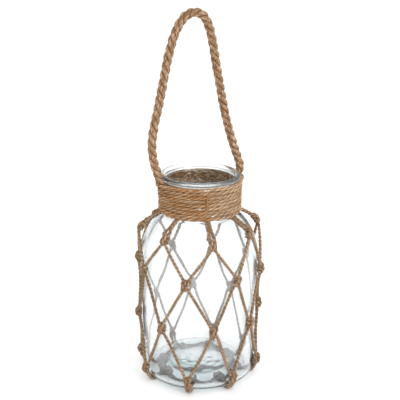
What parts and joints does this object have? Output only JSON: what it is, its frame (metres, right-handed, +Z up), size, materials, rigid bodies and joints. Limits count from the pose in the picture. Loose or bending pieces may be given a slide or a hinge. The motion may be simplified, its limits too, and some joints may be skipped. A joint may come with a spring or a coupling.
{
  "type": "hanging lantern",
  "caption": "Clear glass jar lantern in a knotted jute net, with a twine-wrapped neck and a swinging rope handle.",
  "frame": {"origin": "on the jar's axis, in the plane that the lantern stands on", "axes": "+Z up along the jar's axis; +X to the right and -Y towards the viewer; the handle's ends lie at about 28 degrees to X"},
  "size_m": [0.1312, 0.1312, 0.376],
  "materials": {
    "glass": "clear, smooth pressed glass with a faint green tint at its edges",
    "net_twine": "two-ply jute twine, matt and hairy",
    "wrap_twine": "jute twine laid turn by turn, matt, with small spots of clear glue",
    "handle_rope": "three-strand jute rope, matt, with loose fibres"
  },
  "bodies": {
    "lantern": {"glass_jar": "glass", "neck_wrap": "wrap_twine", "base_ring": "net_twine", "net_cord_1": "net_twine", "net_cord_2": "net_twine", "net_cord_3": "net_twine", "net_cord_4": "net_twine", "net_cord_5": "net_twine", "net_cord_6": "net_twine", "net_cord_7": "net_twine", "net_cord_8": "net_twine", "handle_tail_left": "handle_rope", "handle_tail_right": "handle_rope"},
    "handle": {"handle_rope": "handle_rope"}
  },
  "joints": [
    {"name": "handle_swing", "type": "hinge", "parent": "lantern", "child": "handle", "pos_m": [0, 0, 0.2193], "axis": [0.8829, 0.4695, 0], "range_deg": [-92, 92]}
  ]
}
